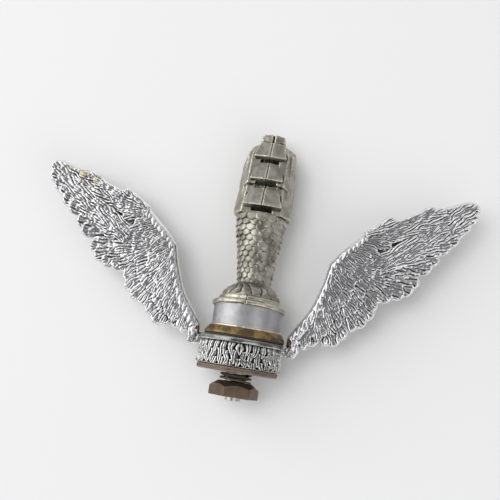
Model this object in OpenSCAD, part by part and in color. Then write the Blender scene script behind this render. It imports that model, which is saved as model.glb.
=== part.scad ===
// A winged hood ornament: a mailed hand on a turned drum, over a collar that carries
// two feathered wings, held by one stud with a nut and two washers below.
// Millimetres, +Z up. The origin is on the stud's axis, in the collar's underside,
// where the bonnet or the cap is clamped. The back of the hand faces -Y.

/* [Stud and nut] */
// Thread diameter of the stud
stud_d = 11; // [8:0.5:13]
// Thread pitch, which the nut moves in one turn
thread_pitch = 1.8; // [1:0.1:2.5]
// Length of the stud inside the figure and its base
stud_above = 39; // [34:1:42]
// Diameter of the turned-down end of the stud
stud_tip_d = 7.6; // [4:0.2:7.8]
// Length of the turned-down end that shows under the nut
stud_tip_len = 1.9; // [1:0.1:8]
// Nut, across flats
nut_af = 22; // [17:0.5:26]
// Nut height
nut_h = 7.5; // [5:0.5:12]
// How far the corners of the nut's upper side are turned down
nut_chamfer_h = 3; // [1:0.25:4]
// Radial running clearance of the nut and the collar on the stud
running_gap = 0.05; // [0.02:0.01:0.1]

/* [Washers] */
// Diameter of the plain washer
washer_d = 40.8; // [30:0.2:50]
// Thickness of the plain washer
washer_t = 2.8; // [1.5:0.1:5]
// Width of the double-coil spring washer's wire
coil_w = 1.9; // [1.5:0.1:3]
// Thickness of the spring washer's wire
coil_t = 1.4; // [0.8:0.1:2]
// Rise of each of its two turns
coil_rise = 1.6; // [1.5:0.05:2.4]
// Radial clearance of the washers on the stud
washer_gap = 0.6; // [0.4:0.1:1]

/* [Collar] */
// Diameter of the collar that carries the wings
collar_d = 43.4; // [36:0.2:54]
// Height of the collar
collar_h = 14.4; // [13:0.2:24]
// Height of the plain rim at its top
rim_h = 2.4; // [1:0.1:4]
// Thickness of the lug on each side of the collar
lug_t = 3; // [2:0.1:4]
// Clearance between each lug and the fork of its wing
fork_gap = 0.05; // [0.02:0.01:0.2]
// Diameter of the two wing rivets
rivet_d = 2.6; // [1.5:0.1:3.5]

/* [Base] */
// Thickness of the gasket
gasket_t = 0.8; // [0.4:0.1:2]
// How far the brass base disc stands out beyond the drum
brass_step = 3; // [1:0.1:4]
// Height of the brass base disc
brass_h = 4; // [2:0.1:8]
// Thickness of the pale ring at the foot of the drum
foot_t = 0.8; // [0.4:0.1:2]
// Diameter of the drum
drum_d = 34.8; // [29:0.2:42]
// Height of the drum at its middle
drum_h = 10; // [7:0.2:20]
// How far the base and the figure stand to the right of the stud
base_offset = 1; // [0:0.1:1.4]
// How far the drum's top leans the figure back, in degrees
lean = 5; // [0:0.5:8]
// Radial clearance of the base pieces on the stud
base_gap = 0.5; // [0.3:0.05:1]

/* [Bezel] */
// How far the bead round the drum's top stands out beyond the drum
bead_step = 1.3; // [0.7:0.1:3]
// Height of the bezel above the drum
bezel_h = 4.3; // [3:0.1:7]
// Width of the butt joint at its front
bezel_joint = 0.5; // [0.2:0.1:2]

/* [Figure] */
// Height of the mound over the bezel
mound_h = 7.7; // [5:0.1:12]
// How far the mound's foot stands in from the drum's edge
mound_step = 2.4; // [1.2:0.1:3]
// Height of the mail sleeve
sleeve_h = 35; // [28:0.5:50]
// Diameter of the mail sleeve at its wrist
sleeve_low_d = 16.2; // [15:0.2:20]
// Diameter of the mail sleeve at the cuff of the hand
sleeve_high_d = 24.6; // [18:0.2:28]
// Rows of scales on the sleeve
scale_rows = 12; // [8:1:16]
// Height of the plated hand
hand_h = 43.5; // [30:0.5:55]
// Width of the plated hand at its cuff
hand_w = 29.4; // [24:0.2:36]
// Depth of the plated hand from front to back
hand_depth = 25; // [20:0.5:30]

/* [Wings] */
// Length of each wing from its root to its tip
wing_len = 120; // [90:1:150]
// How much the right wing is set above the left one, in degrees
wing_skew = 4.6; // [0:0.2:8]
// Thickness of the flight feathers
feather_t = 2.2; // [1.6:0.1:4]
// Depth of each wing at its root
root_depth = 7; // [5.5:0.1:10]
// How far each wing's root starts inside the collar's edge
wing_inset = 0.2; // [0:0.1:1]

/* [Hidden] */
$fn = 96;

stud_r = stud_d / 2;
coil_h = 2 * coil_rise + coil_t;
nut_top = -washer_t - coil_h;
nut_bottom = nut_top - nut_h;
gasket_z = collar_h;
brass_z = gasket_z + gasket_t;
foot_z = brass_z + brass_h;
drum_z = foot_z + foot_t;
drum_top = drum_z + drum_h;
coil_d = stud_d + 2 * (washer_gap + coil_w);
brass_d = drum_d + 2 * brass_step;
brass_top_d = drum_d + 1;
bead_d = drum_d + 2 * bead_step;
mound_d = drum_d - 2 * mound_step;
wing_reach = collar_d / 2 - wing_inset;

// A round piece on the stud's axis or on the base's own axis, with the stud's hole in it
module disc(d, z, h, hole_r, x = 0) {
    difference() {
        translate([x, 0, z]) cylinder(d = d, h = h);
        translate([0, 0, z - 1]) cylinder(r = hole_r, h = h + 2);
    }
}

// The figure's own frame: on the slanted top of the drum
module on_drum() {
    translate([base_offset, 0, drum_top]) rotate([-lean, 0, 0]) children();
}

// ---- Stud, nut and washers -------------------------------------------------

module stud() {
    color("lightgray") {
        translate([0, 0, nut_bottom]) cylinder(r = stud_r, h = stud_above - nut_bottom);
        translate([0, 0, nut_bottom - stud_tip_len]) cylinder(d = stud_tip_d, h = stud_tip_len + 1);
    }
}

// The corner circle of the nut, cut down at the top by a cone
nut_corner_r = nut_af / 2 / cos(30);
// Direction of one corner of the nut
nut_corner_angle = -106;

module hex_nut() {
    color("saddlebrown")
    difference() {
        intersection() {
            translate([0, 0, nut_bottom]) rotate(nut_corner_angle)
                cylinder(r = nut_corner_r, h = nut_h, $fn = 6);
            union() {
                translate([0, 0, nut_bottom]) cylinder(r = nut_corner_r + 0.1, h = nut_h - nut_chamfer_h);
                translate([0, 0, nut_top - nut_chamfer_h])
                    cylinder(r1 = nut_corner_r + 0.1, r2 = nut_af / 2 - 2.5, h = nut_chamfer_h);
            }
        }
        translate([0, 0, nut_bottom - 1]) cylinder(r = stud_r + running_gap, h = nut_h + 2);
    }
}

module plain_washer() {
    edge = 0.6;
    color("rosybrown")
    rotate_extrude()
        polygon([[stud_r + washer_gap, -washer_t], [washer_d / 2 - edge, -washer_t],
                 [washer_d / 2, -washer_t + edge], [washer_d / 2, -edge],
                 [washer_d / 2 - edge, 0], [stud_r + washer_gap, 0]]);
}

// Two turns of square wire: a polyhedron whose rings follow the helix
coil_steps = 72;
coil_in = stud_r + washer_gap;
function coil_ring(i) =
    let (a = 60 + 720 * i / coil_steps, z = nut_top + 2 * coil_rise * i / coil_steps)
    [for (c = [[coil_in, 0], [coil_d / 2, 0], [coil_d / 2, coil_t], [coil_in, coil_t]])
        [c[0] * cos(a), c[0] * sin(a), z + c[1]]];

module spring_washer() {
    points = [for (i = [0:coil_steps]) each coil_ring(i)];
    sides = [for (i = [0:coil_steps - 1], k = [0:3])
        let (a = 4 * i + k, b = 4 * i + (k + 1) % 4) each [[a, a + 4, b + 4], [a, b + 4, b]]];
    last = 4 * coil_steps;
    color("dimgray")
    polyhedron(points, concat(sides, [[0, 1, 2, 3]], [[last + 3, last + 2, last + 1, last]]));
}

// ---- Collar ----------------------------------------------------------------

// The rivet through each lug
rivet_x = collar_d / 2 + 3.6;
rivet_z = collar_h - 4;
lug_r = 3;

module lug() {
    translate([rivet_x, lug_t / 2, rivet_z]) rotate([90, 0, 0]) cylinder(r = lug_r, h = lug_t);
    translate([collar_d / 2 - 3, -lug_t / 2, rivet_z - lug_r])
        cube([rivet_x - collar_d / 2 + 3, lug_t, 2 * lug_r]);
}

module rivet_hole(d) {
    translate([rivet_x, root_depth, rivet_z]) rotate([90, 0, 0])
        cylinder(d = d, h = 2 * root_depth);
}

module both_sides() {
    children();
    mirror([1, 0, 0]) children();
}

module collar() {
    waist = 0.7;
    r = collar_d / 2;
    color("silver")
    difference() {
        union() {
            rotate_extrude()
                polygon([[0, 0], [r - 0.4, 0], [r, 0.6], [r - waist, collar_h / 2],
                         [r - waist + 0.2, collar_h - rim_h - 0.6], [r, collar_h - rim_h],
                         [r, collar_h - 0.7], [r - 0.7, collar_h], [0, collar_h]]);
            both_sides() lug();
        }
        translate([0, 0, -1]) cylinder(r = stud_r + running_gap, h = collar_h + 2);
        both_sides() rivet_hole(rivet_d + 0.1);
    }
}

rivet_head_r = rivet_d * 0.85;

module wing_rivets() {
    head_h = 1.1;
    color("silver")
    both_sides() translate([rivet_x, 0, rivet_z]) rotate([90, 0, 0]) {
        translate([0, 0, -root_depth / 2]) cylinder(d = rivet_d, h = root_depth);
        for (side = [0, 180]) rotate([side, 0, 0])
            translate([0, 0, root_depth / 2])
                cylinder(r1 = rivet_head_r, r2 = rivet_head_r * 0.6, h = head_h);
    }
}

// ---- Wings -----------------------------------------------------------------

// In a wing's own plane: u runs outwards from the root, v upwards
drawn_len = 120;
// The thick leading edge: [u, v, radius], from the root over the wrist to the tip
arm = [[2.6, -3.4, 3.4], [5, 1.6, 3.5], [9.6, 8, 3.5], [15.2, 19, 3.3], [19, 31, 3], [20.8, 41, 3],
       [25.4, 47.8, 3], [36, 56.8, 3], [46, 63.2, 2.7], [60, 68.8, 2], [84, 79.2, 1.6]];
// The sheet of metal between the leading edge and the feathers' roots
web = [[5, -6], [6, 1], [10.2, 8], [15.4, 19], [19, 31], [20.8, 41], [25.4, 47.8], [36, 56.8],
       [46, 63.2], [60, 68.8], [70, 66], [58, 46], [46, 32], [32, 14], [20, 3], [12, -3]];
// The flight feathers: [u and v of the tip, direction, length, width], from the tip to the root
flight = [[92, 78.5, 25, 50, 9.5], [90.5, 73, 28, 54, 9], [85.5, 66, 29, 52, 9.5], [80, 59.5, 27, 48, 10],
          [76, 52, 19, 45, 10], [71, 45.5, 8, 42, 10], [66.5, 37.5, -6, 42, 11], [60.5, 31, -20, 40, 11],
          [51, 27, -33, 34, 9.5], [44.5, 17.5, -45, 34, 11], [38.5, 9.5, -56, 32, 11],
          [28, -0.6, -66, 26, 11], [18, -2, -75, 18, 9.5], [10.5, -2.6, -84, 9, 7]];
feather_tilt = 5;

// A blade with a round end, from [0, 0] to [len, 0]
function blade(len, w) = concat(
    [[0, 0.3 * w], [0, -0.3 * w], [len * 0.45, -0.46 * w]],
    [for (i = [0:8]) let (a = -90 + 22.5 * i)
        [len - 0.6 * w + 0.6 * w * cos(a), 0.5 * w * sin(a)]],
    [[len * 0.45, 0.46 * w]]);

// One feather, drawn over a share of its whole length from its base
module feather(f, share, t, width_share = 1) {
    len = f[3] * share;
    base = [f[0] - f[3] * cos(f[2]), f[1] - f[3] * sin(f[2])];
    translate(base) rotate(f[2]) rotate([feather_tilt, 0, 0])
        translate([0, 0, -t / 2]) linear_extrude(t) polygon(blade(len, f[4] * width_share));
}

module wing_blank() {
    web_t = feather_t + 0.6;
    translate([0, 0, -web_t / 2]) linear_extrude(web_t) polygon(web);
    for (f = flight) feather(f, 1, feather_t);
    for (f = flight) if (f[3] > 20) feather(f, 0.66, feather_t + 1.4, 0.95);
    for (f = flight) if (f[3] > 20) feather(f, 0.4, feather_t + 2.8, 0.9);
    for (i = [0:len(arm) - 2]) hull()
        for (p = [arm[i], arm[i + 1]]) translate([p[0], p[1], 0]) sphere(r = p[2], $fn = 16);
}

// The right wing, set at an angle above the level that both would share
module wing(set_angle) {
    difference() {
        union() {
            translate([wing_reach, 0, collar_h + 1.1]) rotate([0, -set_angle, 0])
                rotate([90, 0, 0]) scale(wing_len / drawn_len) wing_blank();
            translate([rivet_x, root_depth / 2, rivet_z]) rotate([90, 0, 0])
                cylinder(r = 4.2, h = root_depth);
        }
        // the fork that takes the collar's lug
        translate([0, -lug_t / 2 - fork_gap, rivet_z - lug_r - fork_gap])
            cube([rivet_x + lug_r + fork_gap, lug_t + 2 * fork_gap, 2 * (lug_r + fork_gap)]);
        rivet_hole(rivet_d + 0.1);
        // a flat seat for each head of the rivet
        for (side = [-1, 1]) translate([rivet_x, side * (root_depth / 2 + 5), rivet_z])
            rotate([90, 0, 0]) cylinder(r = rivet_head_r + 0.1, h = 10, center = true);
        // room for the collar and for the base that the wings turn round
        translate([0, 0, -1]) cylinder(r = collar_d / 2 + 0.2, h = collar_h + 1);
        translate([0, 0, collar_h - 0.1])
            cylinder(r = max(collar_d / 2 + 0.2, brass_d / 2 + base_offset + 0.4), h = 12);
    }
}

module wing_right() {
    color("silver") wing(wing_skew / 2);
}

module wing_left() {
    color("silver") mirror([1, 0, 0]) wing(-wing_skew / 2);
}

// ---- Base ------------------------------------------------------------------

module gasket() {
    color("black") disc(brass_d - 0.6, gasket_z, gasket_t, stud_r + base_gap, base_offset);
}

module brass_base() {
    r = brass_d / 2;
    color("darkgoldenrod")
    difference() {
        translate([base_offset, 0, brass_z]) rotate_extrude()
            polygon([[0, 0], [r - 0.4, 0], [r, 0.5], [r - 0.3, 1.3], [r - 1.2, brass_h * 0.72],
                     [brass_top_d / 2 + 0.3, brass_h], [0, brass_h]]);
        translate([0, 0, brass_z - 1]) cylinder(r = stud_r + base_gap, h = brass_h + 2);
    }
}

module foot_ring() {
    color("antiquewhite") disc(brass_top_d, foot_z, foot_t, stud_r + base_gap, base_offset);
}

module drum() {
    color("darkgray")
    difference() {
        disc(drum_d, drum_z, drum_h + drum_d / 2, stud_r + base_gap, base_offset);
        on_drum() translate([-drum_d, -drum_d, 0]) cube([2 * drum_d, 2 * drum_d, 2 * drum_d]);
    }
}

// ---- Bezel and figure, in the figure's own frame ----------------------------

// The mound's spigot, which stands in the bezel
spigot_r = mound_d / 2 - 2.2;
bead_low = 1;

module bezel_ring() {
    r = bead_d / 2;
    skirt_in = drum_d / 2 + 0.35;
    lip = mound_d / 2 + 0.6;
    color("wheat")
    on_drum() difference() {
        rotate_extrude()
            polygon([[spigot_r + 0.1, 0], [skirt_in, 0], [skirt_in, -bead_low], [r - 0.3, -bead_low],
                     [r, -bead_low + 0.5], [r, 0.6], [r - 0.6, 1.3], [lip + 0.5, bezel_h * 0.5],
                     [lip - 0.2, bezel_h * 0.62], [lip + 0.2, bezel_h - 0.8], [lip - 0.1, bezel_h - 0.2],
                     [lip - 0.5, bezel_h], [spigot_r + 0.1, bezel_h]]);
        translate([-bezel_joint / 2, -r - 1, -bead_low - 1])
            cube([bezel_joint, r - spigot_r + 0.5, bezel_h + 4]);
    }
}

// The mound: a bell-shaped foot with a ring of rounded lumps
module mound() {
    neck_r = sleeve_low_d / 2 - 0.1;
    rotate_extrude()
        polygon([[0, 0], [spigot_r, 0], [spigot_r, bezel_h], [mound_d / 2 - 0.6, bezel_h],
                 [mound_d / 2 - 0.8, bezel_h + 1.5], [mound_d / 2 - 3, bezel_h + 3.5],
                 [neck_r + 1.4, bezel_h + mound_h - 1.4], [neck_r, bezel_h + mound_h + 1],
                 [0, bezel_h + mound_h + 1]]);
    lumps = 11;
    for (i = [0:lumps - 1]) rotate(i * 360 / lumps + 8)
        translate([mound_d / 2 - 3.9, 0, bezel_h + 2.2]) sphere(r = 2.7 + 0.5 * (i % 2), $fn = 32);
    for (i = [0:6]) rotate(i * 360 / 7 + 25)
        translate([mound_d / 2 - 6.4, 0, bezel_h + 4.4]) sphere(r = 2.6, $fn = 32);
}

// Half-width of the sleeve at a share of its height, and how far its middle has moved to the left
function sleeve_r(s) = (sleeve_low_d + (sleeve_high_d - sleeve_low_d) * pow(s, 1.25)) / 2;
function sleeve_sway(s) = 1 - 2.2 * s;

module mail_sleeve() {
    row_h = sleeve_h / scale_rows;
    flare = 0.7;
    socket_h = stud_above - drum_z;
    color("tan")
    difference() {
        on_drum() {
            mound();
            for (i = [0:scale_rows - 1]) {
                s = i / scale_rows;
                lap = i < scale_rows - 1 ? 0.05 : 0;
                translate([sleeve_sway(s), 0, bezel_h + mound_h + i * row_h])
                    cylinder(r1 = sleeve_r(s) + flare, r2 = sleeve_r(s + 1 / scale_rows) - 0.2,
                             h = row_h + lap, $fn = 48);
            }
        }
        translate([0, 0, drum_z]) cylinder(r = stud_r + running_gap, h = socket_h);
    }
}

// A rounded block between corner points
module block(corners, r = 0.5) {
    hull() for (c = corners) translate(c) sphere(r = r, $fn = 10);
}

// Sizes of the hand relative to the drawing it was set out on
drawn_hand = [29.4, 25, 43.5];

// One half of a tier of finger lames: wider and further out at its foot
module lame(side, z0, z1, w0, w1, y0, y1) {
    ridge = 1.3;
    block([[0, -y0 - ridge, z0], [side * w0, -y0, z0], [0, -y1 - ridge, z1], [side * w1, -y1, z1],
           [0, -y1 + 3, z0 - 2.6], [side * w1, -y1 + 3, z0 - 2.6], [0, -1, z1], [side * w1, -1, z1],
           [0, -1, z0 - 2.6], [side * w1, -1, z0 - 2.6]]);
}

// An outer finger: two rounded lengths, the upper one lapping over the lower
module outer_finger(side) {
    block([[side * 13.9, -3, 0.6], [side * 10, -8.6, 0.6], [side * 13.9, 5, 0.6], [side * 6, -8.6, 0.6],
           [side * 13, -3, 13.4], [side * 9, -8, 14.5], [side * 13, 5, 13.4], [side * 6, -8, 14.5]], 0.8);
    block([[side * 13.2, -2.6, 13.2], [side * 9, -9.6, 15.6], [side * 13.2, 5, 13.2], [side * 6, -9.6, 16],
           [side * 13, -2.6, 25], [side * 11.7, -1, 32.4], [side * 9, -7.4, 31.6], [side * 9.6, -1, 36.4],
           [side * 5, -6.6, 36.8], [side * 12.7, 5, 25], [side * 9.2, 5, 35.8]], 0.8);
}

// The far side: fingers bent over the top, with their ends in the palm, and the thumb across them
module bent_finger(x, top, w) {
    block([[x - w, 2, top], [x + w, 2, top], [x - w, 9, top - 1.6], [x + w, 9, top - 1.6],
           [x - w, 11.2, top - 9], [x + w, 11.2, top - 9], [x - w, 2, top - 9], [x + w, 2, top - 9]], 0.8);
    block([[x - w + 0.4, 10.2, top - 9], [x + w - 0.4, 10.2, top - 9], [x - w + 0.6, 8.8, top - 19],
           [x + w - 0.6, 8.8, top - 19], [x - w, 2, top - 9], [x + w, 2, top - 19]], 0.9);
}

module hand_blocks() {
    // the hand's core, over the sleeve
    block([for (x = [-11, 11], y = [-6, 6], z = [0.6, 32]) [x, y, z]], 1);
    for (side = [-1, 1]) {
        lame(side, 4.2, 13.2, 9.6, 6.6, 11, 8.4);
        lame(side, 17.8, 26.6, 8, 6, 10.8, 7.6);
        lame(side, 30, 37.8, 8, 5.8, 9.6, 6.6);
        // the two knuckles at the top
        block([[side * 0.9, -6.4, 38.8], [side * 5.6, -5.8, 39.2], [side * 1, -6.2, 42.3],
               [side * 5, -5.4, 41.8], [side * 1, 2, 38.8], [side * 5.6, 2, 38.8],
               [side * 1, 1, 41.8], [side * 4.8, 1, 41.2]], 0.8);
        outer_finger(side);
        bent_finger(side * 2.9, 39.6, 2);
        bent_finger(side * 9, 36.2, 2.2);
    }
    // the cuff's far side and the thumb
    block([[-12, 4, 0.8], [12, 4, 0.8], [-9, 10.4, 0.8], [9, 10.4, 0.8],
           [-12, 4, 15], [12, 4, 15], [-9, 9.4, 15], [9, 9.4, 15]], 0.9);
    block([[12.4, 6, 8], [11, 11, 8], [12, 6, 14], [10, 11.4, 15], [4, 12.2, 19], [5, 12.2, 14]], 1);
    block([[4.4, 12, 18.6], [5, 12, 14.4], [-4.6, 12, 20.6], [-4.4, 12, 17], [-1, 9, 18]], 1.1);
}

module gauntlet() {
    color("tan")
    on_drum() translate([sleeve_sway(1), 0, bezel_h + mound_h + sleeve_h])
    scale([hand_w / drawn_hand[0], hand_depth / drawn_hand[1], hand_h / drawn_hand[2]])
    difference() {
        hand_blocks();
        // the flat underside, which stands on the sleeve
        translate([-20, -20, -5]) cube([40, 40, 5]);
    }
}

hex_nut();
spring_washer();
plain_washer();
stud();
collar();
wing_left();
wing_right();
wing_rivets();
gasket();
brass_base();
foot_ring();
drum();
bezel_ring();
mail_sleeve();
gauntlet();
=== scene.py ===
# %% [markdown]
# # A winged hood ornament
#
# The ornament is a stack of castings and turned rings on one stud: a mailed hand on a mound, an
# aluminium drum with a rolled bezel, a brass disc, and a chromed collar with two feathered wings.
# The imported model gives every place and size. This script gives each piece its real surface.

# %% Load the frame
import math

import bmesh
import bpy
import numpy as np
from mathutils import Matrix, Vector


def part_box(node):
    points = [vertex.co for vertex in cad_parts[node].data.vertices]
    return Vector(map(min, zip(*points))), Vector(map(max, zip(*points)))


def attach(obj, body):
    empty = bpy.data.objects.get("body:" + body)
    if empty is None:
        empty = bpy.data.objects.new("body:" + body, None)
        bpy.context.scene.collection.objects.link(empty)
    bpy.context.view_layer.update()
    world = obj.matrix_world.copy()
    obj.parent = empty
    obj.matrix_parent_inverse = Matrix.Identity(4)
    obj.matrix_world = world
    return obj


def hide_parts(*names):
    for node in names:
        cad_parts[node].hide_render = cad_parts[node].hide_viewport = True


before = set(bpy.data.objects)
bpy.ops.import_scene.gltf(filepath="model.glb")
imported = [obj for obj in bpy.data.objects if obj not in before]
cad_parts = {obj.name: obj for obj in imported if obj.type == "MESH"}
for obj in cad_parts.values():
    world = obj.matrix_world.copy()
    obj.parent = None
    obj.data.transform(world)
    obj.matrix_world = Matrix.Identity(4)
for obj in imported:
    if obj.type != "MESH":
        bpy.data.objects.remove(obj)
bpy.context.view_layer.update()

MM = 0.001
print("nodes:", ", ".join(sorted(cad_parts)))

# %% [markdown]
# ## Measures
#
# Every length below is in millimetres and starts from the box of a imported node. The drum's top is
# cut at a slant, so everything above it leans back: points of the figure are drawn upright first
# and then set on the drum.

# %% Measures from the frame
LEAN = math.radians(5)


def box_mm(node):
    """The lowest and highest corner of a node."""
    low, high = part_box(node)
    return np.array(low) / MM, np.array(high) / MM


def ring_size(node):
    """The radius of a round node, and the heights of its underside and its top."""
    low, high = box_mm(node)
    return (high[0] - low[0]) / 2, low[2], high[2]


DRUM_R, DRUM_FOOT, drum_peak = ring_size("drum")
DRUM_TOP = drum_peak - DRUM_R * math.tan(LEAN)
BASE_X = sum(corner[0] for corner in box_mm("drum")) / 2
on_drum = Matrix.Translation((BASE_X, 0, DRUM_TOP)) @ Matrix.Rotation(-LEAN, 4, "X")
print("drum top %.1f mm, base set %.1f mm to the right" % (DRUM_TOP, BASE_X))

# %% [markdown]
# ## The camera
#
# The ornament lies on its back on a table and is seen square on, a little from below its base, with
# the camera rolled so that the figure leans to the right. Near the object the perspective shows:
# the rings at the foot are seen edge on, and the ones higher up from below.

# %% Camera
CAMERA_AZIMUTH = math.radians(7)
CAMERA_ELEVATION = math.radians(-6.3)
CAMERA_ROLL = math.radians(9.2)
CAMERA_DISTANCE = 520
VIEW_WIDTH = 250
# the middle of the view, measured from where the stud's axis meets the collar's underside
VIEW_RIGHT = 6.3
VIEW_UP = 58.65
SENSOR = 36

away = Vector((math.sin(CAMERA_AZIMUTH) * math.cos(CAMERA_ELEVATION),
               -math.cos(CAMERA_AZIMUTH) * math.cos(CAMERA_ELEVATION),
               math.sin(CAMERA_ELEVATION)))
level = Vector((math.cos(CAMERA_AZIMUTH), math.sin(CAMERA_AZIMUTH), 0))
upright = away.cross(level)
right = math.cos(CAMERA_ROLL) * level + math.sin(CAMERA_ROLL) * upright
up = -math.sin(CAMERA_ROLL) * level + math.cos(CAMERA_ROLL) * upright
camera_place = right * VIEW_RIGHT + up * VIEW_UP + away * CAMERA_DISTANCE

camera = bpy.data.objects.new("camera", bpy.data.cameras.new("camera"))
bpy.context.scene.collection.objects.link(camera)
camera.data.sensor_width = SENSOR
camera.data.lens = CAMERA_DISTANCE / VIEW_WIDTH * SENSOR
camera.data.clip_start = 0.01
camera.data.clip_end = 20
camera_turn = Matrix((right, up, away)).transposed().to_4x4()
camera.matrix_world = Matrix.Translation(camera_place * MM) @ camera_turn
bpy.context.scene.camera = camera
print("lens %.1f mm" % camera.data.lens)

# %% [markdown]
# ## Making a mesh
#
# Most pieces are worked out as arrays of points, because their relief follows rules: rings, feathers
# and lumps. A mesh from such an array is welded, which also closes its poles. Then its faces are
# turned outwards and shaded smooth.

# %% Mesh helpers


def grid_faces(rows, columns, wrap_rows, wrap_columns):
    """The quads of a grid of points, numbered row by row."""
    i = np.arange(rows if wrap_rows else rows - 1)
    j = np.arange(columns if wrap_columns else columns - 1)
    i, j = np.meshgrid(i, j, indexing="ij")
    k = (i + 1) % rows
    m = (j + 1) % columns
    quads = [i * columns + j, k * columns + j, k * columns + m, i * columns + m]
    return np.stack(quads, axis=-1).reshape(-1, 4)


def clean_mesh(mesh, weld, shortest=0, smooth=lambda face: True):
    """Welds a mesh, dissolves its shortest edges, turns its faces outwards and shades them smooth."""
    work = bmesh.new()
    work.from_mesh(mesh)
    bmesh.ops.remove_doubles(work, verts=work.verts, dist=weld * MM)
    if shortest:
        bmesh.ops.dissolve_degenerate(work, edges=work.edges, dist=shortest * MM)
    bmesh.ops.recalc_face_normals(work, faces=work.faces)
    for face in work.faces:
        face.smooth = smooth(face)
    work.to_mesh(mesh)
    work.free()
    return mesh


def vertex_rows(mesh, name):
    """Three numbers for each point of a mesh: its place, named co, or its normal."""
    values = np.empty(len(mesh.vertices) * 3)
    mesh.vertices.foreach_get(name, values)
    return values.reshape(-1, 3)


print("a grid of 3 by 4 points has %d quads" % len(grid_faces(3, 4, False, False)))

# %% [markdown]
# Grime settles in the hollows of old metal, and its high spots are rubbed bright. The metals also paint
# shade into the hollows and highlights onto the high spots. So each mesh stores how far every point
# lies under its smoothed surroundings, and the metals read that. A finished piece then hides the CAD
# nodes it stands for, rides on its body and gets its finish.

# %% Hollows, and finishing a piece


def store_hollows(mesh, rounds):
    """Stores for each point how far it lies under (+) or over (-) its smoothed surroundings, in mm."""
    count = len(mesh.vertices)
    spots = vertex_rows(mesh, "co") / MM
    edges = np.empty(len(mesh.edges) * 2, dtype=np.int64)
    mesh.edges.foreach_get("vertices", edges)
    a, b = edges[0::2], edges[1::2]
    degree = np.maximum(np.bincount(edges, minlength=count), 1)
    smooth = spots.copy()
    for _ in range(rounds):
        total = np.stack([np.bincount(a, smooth[b, k], count) + np.bincount(b, smooth[a, k], count)
                          for k in range(3)], axis=1)
        smooth = 0.5 * smooth + 0.5 * total / degree[:, None]
    hollow = ((smooth - spots) * vertex_rows(mesh, "normal")).sum(axis=1)
    layer = mesh.attributes.new("hollow", "FLOAT", "POINT")
    layer.data.foreach_set("value", hollow.astype(np.float32))


def finish_piece(mesh, material, body, nodes, rounds=6):
    """Links a finished mesh as a piece in place of its CAD nodes, which it hides."""
    store_hollows(mesh, rounds)
    piece = bpy.data.objects.new(mesh.name, mesh)
    bpy.context.scene.collection.objects.link(piece)
    mesh.materials.clear()
    mesh.materials.append(material)
    if nodes:
        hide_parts(*nodes)
    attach(piece, body)
    print("%s: %d faces" % (mesh.name, len(mesh.polygons)))


print("nodes to stand for: %d" % len(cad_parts))

# %% [markdown]
# Old metal is never quite even. `ripple` is a smooth random height over a plane: random numbers on a
# lattice with a fixed seed, blended between the lattice's points. It is the same each time it is run.
# Round a turned piece it has to meet itself again, so its lattice repeats after a whole turn.

# %% Smooth random heights
LATTICE = 256


def ripple(u, v, size, seed, wrap=None):
    """A smooth random value from -1 to 1 at each (u, v). size is the distance between random values."""
    lattice = np.random.default_rng(seed).uniform(-1, 1, (LATTICE, LATTICE))
    a, b = u / size, v / size
    i, j = np.floor(a).astype(int), np.floor(b).astype(int)
    p, q = a - i, b - j
    p, q = p * p * (3 - 2 * p), q * q * (3 - 2 * q)
    across = wrap or LATTICE

    def at(x, y):
        return lattice[(x % across) % LATTICE, y % LATTICE]

    near = at(i, j) * (1 - p) + at(i + 1, j) * p
    far = at(i, j + 1) * (1 - p) + at(i + 1, j + 1) * p
    return near * (1 - q) + far * q


def ring_ripple(angle, z, lumps, seed):
    """A ripple round an axis with a number of lumps in each turn. z counts lumps along the axis."""
    return ripple(angle / (2 * math.pi) * lumps, z, 1, seed, lumps)


print("a ripple at three places:", ripple(np.array([0.0, 1.5, 3.0]), np.zeros(3), 2, 5).round(2))

# %% [markdown]
# ## Metals
#
# Every metal here is one idea with other numbers: a base colour that is mottled, dark grime and painted
# shade in the hollows, and brighter edges that are partly wear and partly painted highlight. So a shader
# node group does it once. It takes the hollow value of the mesh, and puts out a colour and a roughness.
# The Principled shader stays in each material. A few helpers come first, which place one node each.

# %% Shader node helpers


def feed(tree, socket, value):
    """Links value to a socket, or sets the socket where value is a plain number or colour."""
    if hasattr(value, "is_output"):
        tree.links.new(value, socket)
    else:
        socket.default_value = value


def link_maths(tree, operation, a, b, clamp=False):
    """A maths node of two values, each a socket or a number."""
    node = tree.nodes.new("ShaderNodeMath")
    node.operation = operation
    node.use_clamp = clamp
    feed(tree, node.inputs[0], a)
    feed(tree, node.inputs[1], b)
    return node.outputs[0]


def link_mix(tree, factor, a, b):
    """A colour between a and b, each a socket or a colour."""
    node = tree.nodes.new("ShaderNodeMix")
    node.data_type = "RGBA"
    factor_socket, a_socket, b_socket = node.inputs[0], node.inputs[6], node.inputs[7]
    feed(tree, factor_socket, factor)
    feed(tree, a_socket, a)
    feed(tree, b_socket, b)
    return node.outputs[2]


def link_noise(tree, scale, detail, place):
    """A noise value from 0 to 1 over an object's own coordinates, scale in cells per metre."""
    node = tree.nodes.new("ShaderNodeTexNoise")
    node.inputs["Scale"].default_value = scale
    node.inputs["Detail"].default_value = detail
    node.inputs["Roughness"].default_value = 0.55
    tree.links.new(place, node.inputs["Vector"])
    return node.outputs["Fac"]


def link_step(tree, value, low, high):
    """0 below low, 1 above high, smooth between."""
    node = tree.nodes.new("ShaderNodeMapRange")
    node.interpolation_type = "SMOOTHSTEP"
    node.inputs["From Min"].default_value = low
    node.inputs["From Max"].default_value = high
    tree.links.new(value, node.inputs["Value"])
    return node.outputs["Result"]


print("shader helpers ready")

# %% [markdown]
# The group mixes four colours in turn: the base with its mottle, then grime and painted shade where the
# hollow value is high, then the worn edge with its painted highlight where it is well under nothing. A
# fine noise pushes the border of the grime and shade to and fro, because grime never ends in a clean
# line. These darkened spots are also duller.

# %% The group for grime, painted shade, wear and painted highlights


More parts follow.
